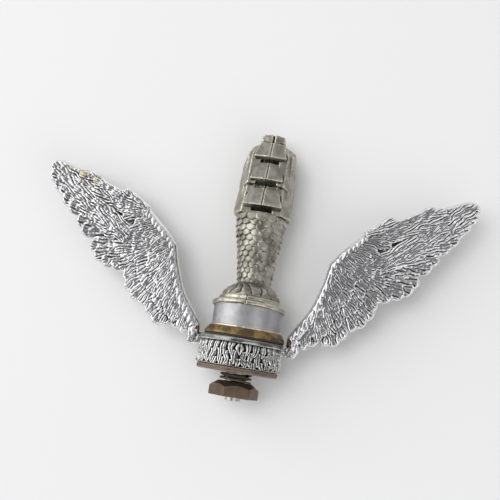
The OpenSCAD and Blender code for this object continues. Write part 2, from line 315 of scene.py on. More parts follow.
def grime_shade_and_wear_group():
    """The shader node group for grime and painted shade, mottle, and wear with painted highlights, with a
    socket for each finish's own values.
    """
    group = bpy.data.node_groups.new("worn_metal", "ShaderNodeTree")

    def add_socket(name, kind, way, value=None):
        socket = group.interface.new_socket(name=name, in_out=way, socket_type=kind)
        if value is not None:
            socket.default_value = value

    for name, grey in (("Base", 0.4), ("Mottle", 0.3), ("Dirt", 0.03), ("Edge", 0.8)):
        add_socket(name, "NodeSocketColor", "INPUT", (grey, grey, grey, 1))
    for name, value in (("Hollow", 0), ("Dirt Amount", 1), ("Edge Amount", 1), ("Roughness", 0.4),
                        ("Roughness Spread", 0.2)):
        add_socket(name, "NodeSocketFloat", "INPUT", value)
    add_socket("Place", "NodeSocketVector", "INPUT")
    add_socket("Color", "NodeSocketColor", "OUTPUT")
    add_socket("Roughness", "NodeSocketFloat", "OUTPUT")
    inside = group.nodes.new("NodeGroupInput").outputs
    outside = group.nodes.new("NodeGroupOutput").inputs
    coarse = link_noise(group, 180, 4, inside["Place"])
    fine = link_maths(group, "SUBTRACT", link_noise(group, 900, 3, inside["Place"]), 0.5)
    mottled = link_mix(group, link_step(group, coarse, 0.4, 0.62), inside["Base"], inside["Mottle"])
    # grime and painted shade fill the hollows, further out where the fine noise is high
    depth = link_maths(group, "MULTIPLY", inside["Hollow"], inside["Dirt Amount"])
    border = link_maths(group, "ADD", depth, link_maths(group, "MULTIPLY", fine, 0.08))
    grime_and_shade = link_step(group, border, 0.03, 0.12)
    # the edge colour, wear and painted highlight together, goes where the hollow value is well under
    # nothing
    height = link_maths(group, "MULTIPLY", inside["Hollow"], inside["Edge Amount"])
    edge = link_step(group, link_maths(group, "MULTIPLY", height, -1), 0.02, 0.12)
    grimed_and_shaded = link_mix(group, grime_and_shade, mottled, inside["Dirt"])
    group.links.new(link_mix(group, edge, grimed_and_shaded, inside["Edge"]), outside["Color"])
    change = link_maths(group, "MULTIPLY", fine, inside["Roughness Spread"])
    rough = link_maths(group, "ADD", inside["Roughness"], change)
    dull = link_maths(group, "ADD", rough, link_maths(group, "MULTIPLY", grime_and_shade, 0.25), clamp=True)
    group.links.new(dull, outside["Roughness"])
    return group


GRIME_SHADE_WEAR = grime_shade_and_wear_group()
print("worn_metal has %d nodes" % len(GRIME_SHADE_WEAR.nodes))

# %% [markdown]
# Each metal places the group with its own values. The bump is a fine grain: round grain on castings,
# and grain drawn out into lines on turned or brushed pieces, by a Mapping node that stretches it.
# Where the plating has come off a wing, a stain paints the bare alloy over the colour.

# %% A metal


def metal(name, base, mottle, grime_and_shade, edge, roughness, spread=0.2, grime_and_shade_amount=1.0, edge_amount=1.0,
          metallic=1.0, grain=2500, grain_depth=0.00002, stretch=(1, 1, 1), paint=None):
    """A metal with grime and painted shade in its hollows and bright edges that are partly painted
    highlight. paint adds marks of its own to the colour.
    """
    material = bpy.data.materials.new(name)
    material.use_nodes = True
    tree = material.node_tree
    shader = tree.nodes["Principled BSDF"]
    place = tree.nodes.new("ShaderNodeTexCoord").outputs["Object"]
    # this node paints grime and shade into the hollows, and wear with highlights onto the edges
    worn = tree.nodes.new("ShaderNodeGroup")
    worn.node_tree = GRIME_SHADE_WEAR
    for socket, colour in (("Base", base), ("Mottle", mottle), ("Dirt", grime_and_shade), ("Edge", edge)):
        worn.inputs[socket].default_value = (*colour, 1)
    for socket, number in (("Dirt Amount", grime_and_shade_amount), ("Edge Amount", edge_amount),
                           ("Roughness", roughness), ("Roughness Spread", spread)):
        worn.inputs[socket].default_value = number
    hollow = tree.nodes.new("ShaderNodeAttribute")
    hollow.attribute_name = "hollow"
    tree.links.new(hollow.outputs["Fac"], worn.inputs["Hollow"])
    tree.links.new(place, worn.inputs["Place"])
    colour = worn.outputs["Color"]
    if paint:
        colour = paint(tree, place, colour)
    tree.links.new(colour, shader.inputs["Base Color"])
    tree.links.new(worn.outputs["Roughness"], shader.inputs["Roughness"])
    shader.inputs["Metallic"].default_value = metallic
    drawn = tree.nodes.new("ShaderNodeMapping")
    drawn.inputs["Scale"].default_value = stretch
    tree.links.new(place, drawn.inputs["Vector"])
    bump = tree.nodes.new("ShaderNodeBump")
    bump.inputs["Strength"].default_value = 1
    bump.inputs["Distance"].default_value = grain_depth
    tree.links.new(link_noise(tree, grain, 3, drawn.outputs[0]), bump.inputs["Height"])
    tree.links.new(bump.outputs[0], shader.inputs["Normal"])
    return material


def stains(spots, colour, low, high):
    """Marks of one colour round some places, each (x, y, z, radius) in millimetres."""
    def paint(tree, place, before):
        total = None
        for x, y, z, radius in spots:
            gap = tree.nodes.new("ShaderNodeVectorMath")
            gap.operation = "DISTANCE"
            gap.inputs[1].default_value = (x * MM, y * MM, z * MM)
            tree.links.new(place, gap.inputs[0])
            share = link_maths(tree, "DIVIDE", gap.outputs["Value"], radius * MM)
            near = link_maths(tree, "SUBTRACT", 1, share, clamp=True)
            total = near if total is None else link_maths(tree, "MAXIMUM", total, near)
        patchy = link_maths(tree, "MULTIPLY", total, link_noise(tree, 700, 3, place))
        return link_mix(tree, link_step(tree, patchy, low, high), before, (*colour, 1))
    return paint


BARE_ALLOY = stains(((-95, -2, 86, 7), (-88, -2, 83, 6), (-103, -2, 88, 4)), (0.42, 0.38, 0.25), 0.22, 0.5)
print("stains painted on the left wing's tip")

# %% [markdown]
# The finishes differ most in how dark their grime and painted shade are and how far they spread. The
# collar is nearly black between its feathers, with grime and painted shade. The hand and its scales are
# a warm, dull nickel. The nut, the washer and the spring are browned steel, which is only partly a
# mirror, so their metallic value is lower.

# %% Metals
# each one: name, base, mottle, grime and painted shade, worn edge and painted highlight, roughness, spread
# of the roughness
# the wings' grime colour, at a raised amount, also paints shade near their roots and between their
# feathers
chrome = metal("wing_chrome", (0.68, 0.68, 0.69), (0.5, 0.5, 0.52), (0.035, 0.035, 0.035),
               (0.9, 0.9, 0.9), 0.14, 0.16, grime_and_shade_amount=1.6, grain=1500, grain_depth=0.00003,
               paint=BARE_ALLOY)
# the collar's near-black grime colour, at a high amount, also paints the shade between its cast feathers
collar_metal = metal("collar_chrome", (0.29, 0.29, 0.285), (0.14, 0.135, 0.125), (0.015, 0.013, 0.01),
                     (0.92, 0.92, 0.92), 0.16, 0.2, grime_and_shade_amount=3.0, grain=1500, grain_depth=0.00003)
figure_metal = metal("figure_nickel", (0.34, 0.325, 0.285), (0.24, 0.23, 0.2), (0.025, 0.022, 0.018),
                     (0.75, 0.7, 0.57), 0.36, 0.25, grime_and_shade_amount=1.2)
# the hand's bright edge colour, at a doubled amount, paints highlights along the edges of its plates, over
# the wear
hand_metal = metal("hand_nickel", (0.4, 0.385, 0.34), (0.27, 0.26, 0.225), (0.03, 0.027, 0.022),
                   (0.74, 0.69, 0.56), 0.38, 0.3, grime_and_shade_amount=1.6, edge_amount=2.0)
scale_metal = metal("scale_nickel", (0.5, 0.48, 0.42), (0.26, 0.25, 0.21), (0.03, 0.027, 0.02),
                    (0.7, 0.66, 0.54), 0.34, 0.3, edge_amount=0.25)
bezel_metal = metal("bezel_nickel", (0.6, 0.57, 0.47), (0.44, 0.41, 0.32), (0.05, 0.045, 0.03),
                    (0.88, 0.85, 0.74), 0.24, 0.25, grime_and_shade_amount=1.3)
drum_metal = metal("drum_aluminium", (0.5, 0.5, 0.51), (0.42, 0.42, 0.43), (0.1, 0.1, 0.1),
                   (0.75, 0.75, 0.75), 0.44, stretch=(0.15, 0.15, 1), grain=4000)
brass = metal("aged_brass", (0.34, 0.235, 0.1), (0.13, 0.095, 0.055), (0.04, 0.03, 0.015),
              (0.6, 0.42, 0.18), 0.45, 0.3, grain=1200, grain_depth=0.00006)
solder = metal("pale_solder", (0.85, 0.8, 0.66), (0.7, 0.64, 0.5), (0.2, 0.17, 0.1),
               (0.95, 0.92, 0.85), 0.3)
washer_metal = metal("brown_washer", (0.075, 0.052, 0.04), (0.12, 0.06, 0.038), (0.025, 0.017, 0.012),
                     (0.26, 0.2, 0.16), 0.55, 0.3, metallic=0.5, stretch=(0.3, 0.3, 1))
nut_metal = metal("browned_nut", (0.15, 0.1, 0.068), (0.1, 0.075, 0.058), (0.02, 0.014, 0.01),
                  (0.35, 0.31, 0.27), 0.42, 0.3, metallic=0.7)
spring_metal = metal("black_spring", (0.03, 0.022, 0.017), (0.045, 0.03, 0.02), (0.008, 0.008, 0.008),
                     (0.1, 0.08, 0.06), 0.55, metallic=0.3)
stud_metal = metal("stud_steel", (0.55, 0.54, 0.5), (0.38, 0.36, 0.32), (0.08, 0.07, 0.05),
                   (0.8, 0.79, 0.76), 0.3, 0.3)
rubber = metal("gasket_rubber", (0.02, 0.02, 0.02), (0.03, 0.03, 0.03), (0.02, 0.02, 0.02),
               (0.05, 0.05, 0.05), 0.6, metallic=0.0)
print("finishes:", ", ".join(material.name for material in bpy.data.materials))

# %% [markdown]
# ## Turned pieces
#
# Rings, discs and the stud are turned: an outline swept round an axis. The outline's corners are
# rounded first, because a real corner always catches some light. A relief function may then move
# the points in and out, for ragged solder or a collar cast with feathers.

# %% Turning


def rounded(corners, fillet, step):
    """A closed outline with its corners rounded and its long sides cut into steps."""
    corners = np.array(corners, float)
    spots = []
    for before, here, after in zip(np.roll(corners, 1, 0), corners, np.roll(corners, -1, 0)):
        lead = min(fillet, np.linalg.norm(before - here) / 2.2)
        trail = min(fillet, np.linalg.norm(after - here) / 2.2)
        start = here + (before - here) / np.linalg.norm(before - here) * lead
        end = here + (after - here) / np.linalg.norm(after - here) * trail
        for s in np.linspace(0, 1, 5):
            spots.append((1 - s) ** 2 * start + 2 * s * (1 - s) * here + s * s * end)
    spots = np.array(spots)
    full = []
    for here, after in zip(spots, np.roll(spots, -1, 0)):
        parts = max(1, int(np.linalg.norm(after - here) / step))
        full.extend(here + (after - here) * k / parts for k in range(parts))
    return np.array(full)


def flat_ring(inner, outer, low, high, fillet, step):
    """The rounded outline of a plain ring."""
    return rounded([(inner, low), (outer, low), (outer, high), (inner, high)], fillet, step)


def turned_mesh(name, outline, turns=240, middle=(0.0, 0.0), relief=None, tilt=None, gap=0.0):
    """A ring swept round the Z axis at middle. gap, in degrees, leaves it open at its front."""
    start = -90 + gap / 2
    angles = np.radians(np.linspace(start, start + 360 - gap, turns, endpoint=gap > 0))
    angle, r = np.meshgrid(angles, outline[:, 0], indexing="ij")
    z = np.broadcast_to(outline[:, 1], r.shape)
    if relief:
        r, z = relief(angle, r, z)
    spots = np.stack([middle[0] + r * np.cos(angle), middle[1] + r * np.sin(angle), z], axis=-1)
    spots = spots.reshape(-1, 3)
    faces = grid_faces(turns, len(outline), gap == 0, True).tolist()
    if gap:
        last = (turns - 1) * len(outline)
        faces += [list(range(len(outline))), [last + k for k in range(len(outline))]]
    if tilt:
        spots = spots @ np.array(tilt.to_3x3()).T + np.array(tilt.translation)
    mesh = bpy.data.meshes.new(name)
    mesh.from_pydata((spots * MM).tolist(), [], faces)
    return clean_mesh(mesh, 0.003, smooth=lambda face: len(face.verts) == 4)


def uneven(depth, size, seed, limit=np.inf):
    """A relief that roughens a turned face by depth, in lumps of about size, up to a radius."""
    def relief(angle, r, z):
        lumps = max(4, int(2 * math.pi * r.max() / size))
        return np.minimum(r + depth * ring_ripple(angle, z / size + r / size, lumps, seed), limit), z
    return relief


print("a rounded square has %d points" % len(flat_ring(1, 2, 0, 1, 0.2, 0.2)))

# %% [markdown]
# ### Brass disc and solder ring
#
# The brass disc is domed and finished by hand, so its edge wanders. The pale ring at the drum's foot
# is solder that has run out of the joint, and its edge is ragged all round.

# %% Brass disc and solder ring
BORE = 6.0
EDGE_BAND = 2.0


def brass_disc():
    """The domed disc under the drum."""
    r, z, top = ring_size("brass_base")
    bevel_z = z + (top - z) * 0.68
    outline = rounded([(BORE, z), (r - 0.2, z), (r, z + 0.6), (r - 0.35, z + 1.5), (r - 1.2, bevel_z),
                       (DRUM_R + 0.9, top), (BORE, top)], 0.5, 0.7)
    mesh = turned_mesh("brass_disc", outline, 240, (BASE_X, 0), uneven(0.16, 5, 3, r))
    finish_piece(mesh, brass, "figure", ["brass_base"])


def solder_ring():
    """The thin pale ring at the drum's foot, with notches in its outer edge."""
    r, low, high = ring_size("foot_ring")

    def ragged(angle, rr, zz):
        notch = np.minimum(0.35 * ring_ripple(angle, zz * 0, 44, 5) - 0.2, 0)
        return rr + np.where(rr > r - EDGE_BAND, notch, 0), zz

    mesh = turned_mesh("solder_ring", flat_ring(BORE, r, low, high, 0.3, 0.3), 360, (BASE_X, 0), ragged)
    finish_piece(mesh, solder, "figure", ["foot_ring"])


brass_disc()
solder_ring()

# %% [markdown]
# ### Drum and gasket
#
# The drum is a plain turned cylinder with shallow dents. Its top follows the lean, so each of its
# rings is tipped by its share of the drum's height. The gasket is a plain rubber ring under the disc.

# %% Drum and gasket


def drum_body():
    """The dented cylinder whose top is cut at a slant."""
    def slanted(angle, rr, zz):
        share = (zz - DRUM_FOOT) / (DRUM_TOP - DRUM_FOOT)
        dents = 0.05 * ring_ripple(angle, zz / 3, 36, 9) - 0.04
        rr = np.where(rr > DRUM_R - 1, np.minimum(rr + dents, DRUM_R), rr)
        return rr, zz - share * rr * np.sin(angle) * math.tan(LEAN)

    outline = flat_ring(BORE, DRUM_R, DRUM_FOOT, DRUM_TOP, 0.35, 0.6)
    mesh = turned_mesh("drum_body", outline, 300, (BASE_X, 0), slanted)
    finish_piece(mesh, drum_metal, "figure", ["drum"])


def gasket_ring():
    """The rubber ring between the disc and the collar."""
    outline = flat_ring(BORE, *ring_size("gasket"), 0.25, 0.5)
    finish_piece(turned_mesh("gasket_ring", outline, 200, (BASE_X, 0)), rubber, "figure",
                 ["gasket"])


drum_body()
gasket_ring()

# %% [markdown]
# ### Bezel
#
# The bezel is a rolled strip of plated brass: a fat bead below, a groove and a thin lip above. Its
# ends meet in a butt joint at the front, which never quite closes, and its lower edge is a bit ragged.

# %% Bezel
BEZEL_H = 4.3
BEZEL_BORE = 12.9


def bezel_piece():
    """The rolled strip on the drum's top, open at its joint."""
    low, high = box_mm("bezel_ring")
    r = (high[0] - low[0]) / 2
    lap = DRUM_R + 0.35
    outline = rounded([(BEZEL_BORE, 0.05), (lap, 0.05), (lap, -0.9), (r - 0.7, -0.95), (r, -0.3), (r, 0.9),
                       (r - 0.8, 1.7), (r - 2.2, 2.0), (r - 2.9, 2.3), (r - 2.8, 3.3), (r - 3.1, 4.1),
                       (r - 3.7, BEZEL_H), (BEZEL_BORE, BEZEL_H)], 0.5, 0.35)

    def worn(angle, rr, zz):
        outside = rr > r - 4
        wear = np.minimum(0.16 * ring_ripple(angle, zz / 1.6, 60, 21) - 0.1, 0)
        nicks = 0.35 * np.clip(-zz / 0.9, 0, 1) * ring_ripple(angle, zz * 0, 60, 23)
        return rr + np.where(outside, wear, 0), zz + np.where(outside, np.maximum(nicks, 0), 0)

    mesh = turned_mesh("bezel_strip", outline, 420, (0, 0), worn, on_drum, gap=1.8)
    finish_piece(mesh, bezel_metal, "figure", ["bezel_ring"])


bezel_piece()

# %% [markdown]
# ## Washers, nut and stud
#
# The plain washer has worn, rounded edges. The nut is a hexagon cut by a cone, which leaves the arcs
# on its flats. One formula gives both: the hexagon's radius in each direction, or the cone's radius
# at each height, whichever is less.

# %% Nut and plain washer
NUT_CORNER = math.radians(-106)
NUT_FLATS_SHARE = 0.892
NUT_CONE = 3.0
CORNER_SHARPNESS = 70


def hexagon(angle, flats):
    """The radius of a hexagon in each direction, with its corners just eased."""
    total = sum(np.abs(np.cos(angle - NUT_CORNER - math.pi / 6 - k * math.pi / 3)) ** CORNER_SHARPNESS
                for k in range(3))
    return flats / 2 / total ** (1 / CORNER_SHARPNESS)


def plain_washer():
    """The thick brown washer under the collar."""
    r, low, high = ring_size("plain_washer")
    outline = flat_ring(6.1, r, low, high, 0.9, 0.6)
    mesh = turned_mesh("plain_washer_disc", outline, 300, relief=uneven(0.12, 3, 31, r))
    finish_piece(mesh, washer_metal, "washers", ["plain_washer"])


def hexagon_nut():
    """The nut. Its box is wider than its flats, because the hexagon stands turned."""
    half_box, low, high = ring_size("hex_nut")
    flats = 2 * half_box * NUT_FLATS_SHARE
    corner = flats / 2 / math.cos(math.pi / 6)
    bore = 5.6
    outline = rounded([(bore, low), (corner, low), (corner, high - NUT_CONE), (flats / 2 - 2.5, high),
                       (bore, high)], 0.2, 0.3)

    def hexed(angle, rr, zz):
        share = np.clip((rr - bore - 0.5) / 2, 0, 1)
        foot = 0.12 * np.clip(low + 0.4 - zz, 0, 0.4) / 0.4
        flat = np.minimum(rr, hexagon(angle, flats) - foot)
        flat = flat + 0.035 * ring_ripple(angle, zz, 40, 33) - 0.03
        return rr + share * (flat - rr), zz

    finish_piece(turned_mesh("hexagon_nut", outline, 480, relief=hexed), nut_metal, "nut",
                 ["hex_nut"])


plain_washer()
hexagon_nut()

# %% [markdown]
# ### Stud
#
# The stud's thread is a helix. Its ridge is a triangle wave of height and angle together, which
# climbs one pitch in each turn. The end is turned down to a plain pin.

# %% Stud
PITCH = 1.8
THREAD_DEPTH = 0.55
PIN_R = 3.8
PIN_H = 1.9
POLE_R = 0.01


def stud_piece():
    """The threaded stud through the whole stack."""
    r, low, high = ring_size("stud")
    shoulder = low + PIN_H
    outline = rounded([(POLE_R, low), (PIN_R, low), (PIN_R, shoulder), (r, shoulder), (r, high),
                       (POLE_R, high)], 0.35, 0.3)

    def threaded(angle, rr, zz):
        wave = np.abs(((zz / PITCH - angle / (2 * math.pi)) % 1) * 2 - 1)
        on_thread = (rr > r - 0.2) & (zz > shoulder + 0.5) & (zz < high - 0.5)
        return np.where(on_thread, rr - THREAD_DEPTH * wave, rr), zz

    finish_piece(turned_mesh("threaded_stud", outline, 96, relief=threaded), stud_metal, "figure",
                 ["stud"])


stud_piece()

# %% [markdown]
# ## Geometry Nodes
#
# What follows a path or repeats is made by Geometry Nodes. Each tree starts with named inputs and
# ends in real geometry with its material. It runs once, as a modifier on a holder object, and its
# result becomes a plain mesh. Each modifier input is set by its identifier.

# %% Geometry node helpers


def new_tree(name, sockets):
    """A tree with the named inputs and one for its material, and its input and output nodes."""
    tree = bpy.data.node_groups.new(name, "GeometryNodeTree")
    tree.interface.new_socket("Geometry", in_out="INPUT", socket_type="NodeSocketGeometry")
    for socket, kind in (*sockets, ("Material", "NodeSocketMaterial")):
        tree.interface.new_socket(socket, in_out="INPUT", socket_type=kind)
    tree.interface.new_socket("Geometry", in_out="OUTPUT", socket_type="NodeSocketGeometry")
    return tree, tree.nodes.new("NodeGroupInput"), tree.nodes.new("NodeGroupOutput")


def end_tree(tree, take, give, shape):
    """Ends a tree: instances become real geometry, which gets the material."""
    realize = tree.nodes.new("GeometryNodeRealizeInstances")
    paint = tree.nodes.new("GeometryNodeSetMaterial")
    for source, target in ((shape, realize.inputs[0]), (realize.outputs[0], paint.inputs["Geometry"]),
                           (take.outputs["Material"], paint.inputs["Material"]),
                           (paint.outputs[0], give.inputs[0])):
        tree.links.new(source, target)


def evaluated_mesh(name, holder):
    """The plain mesh that a holder's modifiers make. The holder goes."""
    bpy.context.view_layer.update()
    evaluated = holder.evaluated_get(bpy.context.evaluated_depsgraph_get())
    mesh = bpy.data.meshes.new_from_object(evaluated)
    mesh.name = name
    bpy.data.objects.remove(holder)
    return mesh


def bake_tree(name, tree, start, values):
    """Runs a tree on a start mesh with the values given, and returns the plain mesh it makes."""
    holder = bpy.data.objects.new(name + "_maker", start)
    bpy.context.scene.collection.objects.link(holder)
    modifier = holder.modifiers.new("maker", "NODES")
    modifier.node_group = tree
    identifiers = {item.name: item.identifier for item in tree.interface.items_tree
                   if item.in_out == "INPUT"}
    for socket, value in values.items():
        modifier[identifiers[socket]] = value
    return evaluated_mesh(name, holder)


print("tree helpers ready")

# %% [markdown]
# ### Spring washer
#
# A double-coil spring washer is flat wire wound into two turns. Its path is a helix and its section a
# rectangle, so a tree can sweep it: Spiral, Quadrilateral, Curve to Mesh. It could be turned like the
# other rings, but then the two coils would be closed rings without the step between them.

# %% Spring washer
WIRE_W = 1.9
WIRE_H = 1.1
# the wire is drawn thinner than its share of the height, so that the coils stay apart
WIRE_THIN = 0.8


def wire_tree():
    """A tree that winds a rectangular wire into two turns."""
    sizes = ("Radius", "Rise", "Wire Width", "Wire Height")
    tree, take, give = new_tree("wound_wire", [(size, "NodeSocketFloat") for size in sizes])
    spiral = tree.nodes.new("GeometryNodeCurveSpiral")
    spiral.inputs["Resolution"].default_value = 90
    spiral.inputs["Rotations"].default_value = 2
    section = tree.nodes.new("GeometryNodeCurvePrimitiveQuadrilateral")
    sweep = tree.nodes.new("GeometryNodeCurveToMesh")
    sweep.inputs["Fill Caps"].default_value = True
    for source, target in ((take.outputs["Radius"], spiral.inputs["Start Radius"]),
                           (take.outputs["Radius"], spiral.inputs["End Radius"]),
                           (take.outputs["Rise"], spiral.inputs["Height"]),
                           (take.outputs["Wire Width"], section.inputs["Width"]),
                           (take.outputs["Wire Height"], section.inputs["Height"]),
                           (spiral.outputs[0], sweep.inputs["Curve"]),
                           (section.outputs[0], sweep.inputs["Profile Curve"])):
        tree.links.new(source, target)
    end_tree(tree, take, give, sweep.outputs[0])
    return tree


def spring_washer():
    """The wound wire between the nut and the plain washer."""
    r, low, high = ring_size("spring_washer")
    values = {"Radius": (r - WIRE_W / 2) * MM, "Rise": (high - low - WIRE_H) * MM,
              "Wire Width": WIRE_W * MM, "Wire Height": WIRE_H * WIRE_THIN * MM, "Material": spring_metal}
    mesh = bake_tree("spring_coil", wire_tree(), bpy.data.meshes.new("empty"), values)
    mesh.transform(Matrix.Translation((0, 0, (low + WIRE_H / 2) * MM)))
    clean_mesh(mesh, 0.003)
    mesh.set_sharp_from_angle(angle=math.radians(40))
    finish_piece(mesh, spring_metal, "washers", ["spring_washer"])


spring_washer()

# %% [markdown]
# ## Collar
#
# The collar is cast with three overlapping rows of narrow feathers under a smooth rim. On the
# unwrapped side each feather is a long lump with a groove down its middle, so the relief is a formula
# of the distance round the collar and of height. No two stand quite alike, because each column
# wanders a little.

# %% Collar feathers
collar_low, collar_high = box_mm("collar")
COLLAR_R = (collar_high[1] - collar_low[1]) / 2
COLLAR_H = collar_high[2]
RIM_H = 2.4
FEATHERS_ROUND = 32
# the top and the length of each row
COLLAR_ROWS = ((COLLAR_H - RIM_H + 0.6, 7.2), (7.8, 7.0), (3.6, 4.2))


def leaf_rows(around, z):
    """The height of the collar's cast feathers. around counts feathers round the collar."""
    total = np.zeros_like(z)
    for row, (top, length) in enumerate(COLLAR_ROWS):
        wave = 0.22 * ripple(around, z / 3, 1, 41 + row, FEATHERS_ROUND)
        place = around + 0.5 * row + wave
        column = np.floor(place)
        x = (place - column - 0.5) * 2
        drop = 0.7 * ripple(column, column * 0, 1, 51 + row)
        s = (top + drop - z) / length
        half = np.where(s > 0, np.sqrt(np.clip(1 - s ** 2, 0, 1)), 0) * 0.96
        inside = (s > 0) & (s < 1) & (np.abs(x) < half)
        lump = np.clip(1 - (x / np.maximum(half, 0.05)) ** 2, 0, 1) ** 0.7 * 0.75 + 0.25 * s
        lump = lump - 0.4 * np.exp(-(x / 0.14) ** 2)
        total = np.where(inside, np.maximum(total, lump), total)
    return total


print("collar radius %.1f mm, height %.1f mm" % (COLLAR_R, COLLAR_H))

# %% [markdown]
# The feathers lie in a band that is sunk under the rim, so the collar is never wider than its box.
# Fine unevenness covers them, as in any cast that was not cleaned up.

# %% Collar
FEATHER_RISE = 1.35
BAND_SINK = 1.3


def collar_piece():
    """The collar under the brass disc, with its feathers as relief."""
    r, h = COLLAR_R, COLLAR_H
    bore = 5.6
    outline = rounded([(bore, 0.02), (r - 0.5, 0.02), (r - 0.1, 0.6), (r - 0.5, h / 2),
                       (r - 0.5, h - RIM_H - 0.7), (r, h - RIM_H), (r, h - 0.8), (r - 0.8, h), (bore, h)],
                      0.7, 0.32)

    def cast(angle, rr, zz):
        around = angle / (2 * math.pi) * FEATHERS_ROUND
        band = np.clip((zz - 0.3) / 0.6, 0, 1) * np.clip((h - RIM_H - 0.1 - zz) / 0.5, 0, 1)
        relief = leaf_rows(around, zz) * FEATHER_RISE - BAND_SINK
        relief = relief + 0.08 * ring_ripple(angle, zz / 0.8, FEATHERS_ROUND * 2, 61)
        rim = 0.07 * ring_ripple(angle, zz / 2, FEATHERS_ROUND // 2, 63) - 0.05
        cast_r = np.minimum(rr + band * relief + (1 - band) * rim, r)
        return np.where(rr > r - 3, cast_r, rr), zz

    mesh = turned_mesh("feathered_collar", outline, 480, relief=cast)
    finish_piece(mesh, collar_metal, "winged_collar", ["collar"])


collar_piece()

# %% [markdown]
# ## Wings
#
# Each wing is one casting: a thick arm that bends at the wrist, and feathers in overlapping rows. It
# could be built from separate feathers, but on the real one they run into each other. It is flat
# enough to be a relief, so it is two height fields, front and back, over one outline. The drawing
# below is for the right wing: distance out from the collar, and height.

# %% Wing drawing
# the leading edge from the root over the wrist: distance out, height, radius
ARM = ((-1.2, -3.6, 2.6), (3.9, -4.4, 3.1), (4.6, 2, 3.6), (9, 8.6, 3.5), (12.6, 14, 3.4),
       (15.6, 20.4, 3.2), (19, 31, 3), (21, 40.6, 2.8), (26, 46.6, 3), (36.2, 56.4, 2.9), (46, 63, 2.5),
       (60, 68.8, 1.9), (84, 77.9, 1.5))
# the metal between the arm and the feathers' roots
WEB = ((3, -2.5), (5, 2), (10.2, 8), (15.4, 19), (19, 31), (20.8, 41), (25.4, 47), (36, 56.2), (46, 63),
       (60, 68.6), (70, 66), (58, 46), (46, 32), (32, 14), (20, 4), (12, 1))
# flight feathers from the tip to the root, in the lobes of the trailing edge: tip out, tip height,
# direction in degrees, length, width
FLIGHT = ((89.8, 77.4, 26, 50, 8), (89.2, 73.6, 30, 52, 8.5), (86.2, 69, 32, 50, 8.5),
          (83, 65.3, 33, 46, 7.5),
          (81.2, 61.4, 25, 46, 8), (77.6, 57.2, 21, 44, 8.5),
          (72.4, 50, 12, 42, 9), (69.4, 45.2, 5, 42, 9),
          (63.8, 36.6, -6, 42, 9.5), (61, 32, -14, 39, 9.5), (56.4, 28.8, -21, 35, 8),
          (50.4, 26.4, -34, 31, 8.5), (46, 25.6, -38, 28, 7.5),
          (43.6, 21, -42, 30, 9), (42, 16.2, -47, 29, 9), (38.2, 11.6, -54, 28, 9),
          (33.4, 9.2, -60, 25, 7.5),
          (28.6, 4.4, -64, 22, 8.5), (24.8, 0.4, -70, 21, 8.5), (20.6, 0.4, -75, 17, 7),
          (14.4, -0.5, -79, 14, 7.5), (9.6, -1.4, -83, 8, 6.5))
# the thumb's feather at the wrist, in the same order and with its level
THUMB = (49.5, 67, 31, 17, 6, 2.9)
FLIGHT_LEVEL = 0.9
# the coverts over the flight feathers: share of their length, share of their width, level
COVERT_ROWS = ((0.7, 0.85, 1.4), (0.47, 0.8, 1.9))
# the small coverts along the arm: reach, length, width, level, number
SMALL_COVERTS = ((14, 12, 5.5, 2, 22), (9.5, 8, 5, 2.2, 26))
print("flight feathers: %d" % len(FLIGHT))

# %% [markdown]
# The flight feathers lie lowest. Over their inner parts lie two rows of coverts, which are the same
# feathers again, shorter and narrower. Small coverts follow the arm, and turn with it from pointing
# down at the root to pointing out at the tip. The level says how high each one lies.

# %% Feathers of a wing


def arm_point(share):
    """The point at a share of the way along the arm."""
    spots = np.array([point[:2] for point in ARM])
    steps = np.concatenate([[0], np.cumsum(np.linalg.norm(np.diff(spots, axis=0), axis=1))])
    return [float(np.interp(share * steps[-1], steps, spots[:, k])) for k in (0, 1)]


def feather_rows():
    """Every feather as tip, direction, length, width and level, from the flight feathers inwards."""
    rows = [(*feather, FLIGHT_LEVEL) for feather in FLIGHT]
    for share, width_share, level in COVERT_ROWS:
        for u, v, a, length, width in FLIGHT:
            if length < 15:
                continue
            back = length * (1 - share)
            rows.append((u - back * math.cos(math.radians(a)), v - back * math.sin(math.radians(a)), a,
                         length * share, width * width_share, level))
    for reach, length, width, level, count in SMALL_COVERTS:
        for k in range(count):
            share = (k + 0.6) / count
            u, v = arm_point(0.08 + share * 0.74)
            a = np.interp(share, [0, 0.35, 0.55, 0.75, 1], [-84, -62, -35, 12, 27]) + 6 * math.sin(2.3 * k)
            fit = min(1, 0.55 + share * 2)
            rows.append((u + reach * fit * math.cos(math.radians(a)),
                         v + reach * fit * math.sin(math.radians(a)), a, length * fit, width * fit, level))
    return rows + [THUMB]


print("feathers on a wing: %d" % len(feather_rows()))

# %% [markdown]
# One feather is narrow at its root, widest before its rounded tip and crowned across. Its barbs slant
# away from a raised shaft, and are broken up here and there, as they are on an old casting. Each
# feather is a little higher on one side, so that it overlaps its neighbour.

# %% One feather
# barb ridges across a whole feather, and the length over which they slant outwards by one ridge
BARBS_ACROSS = 4.4
BARB_SWEEP = 7.5
BARB_HEIGHT = 0.26


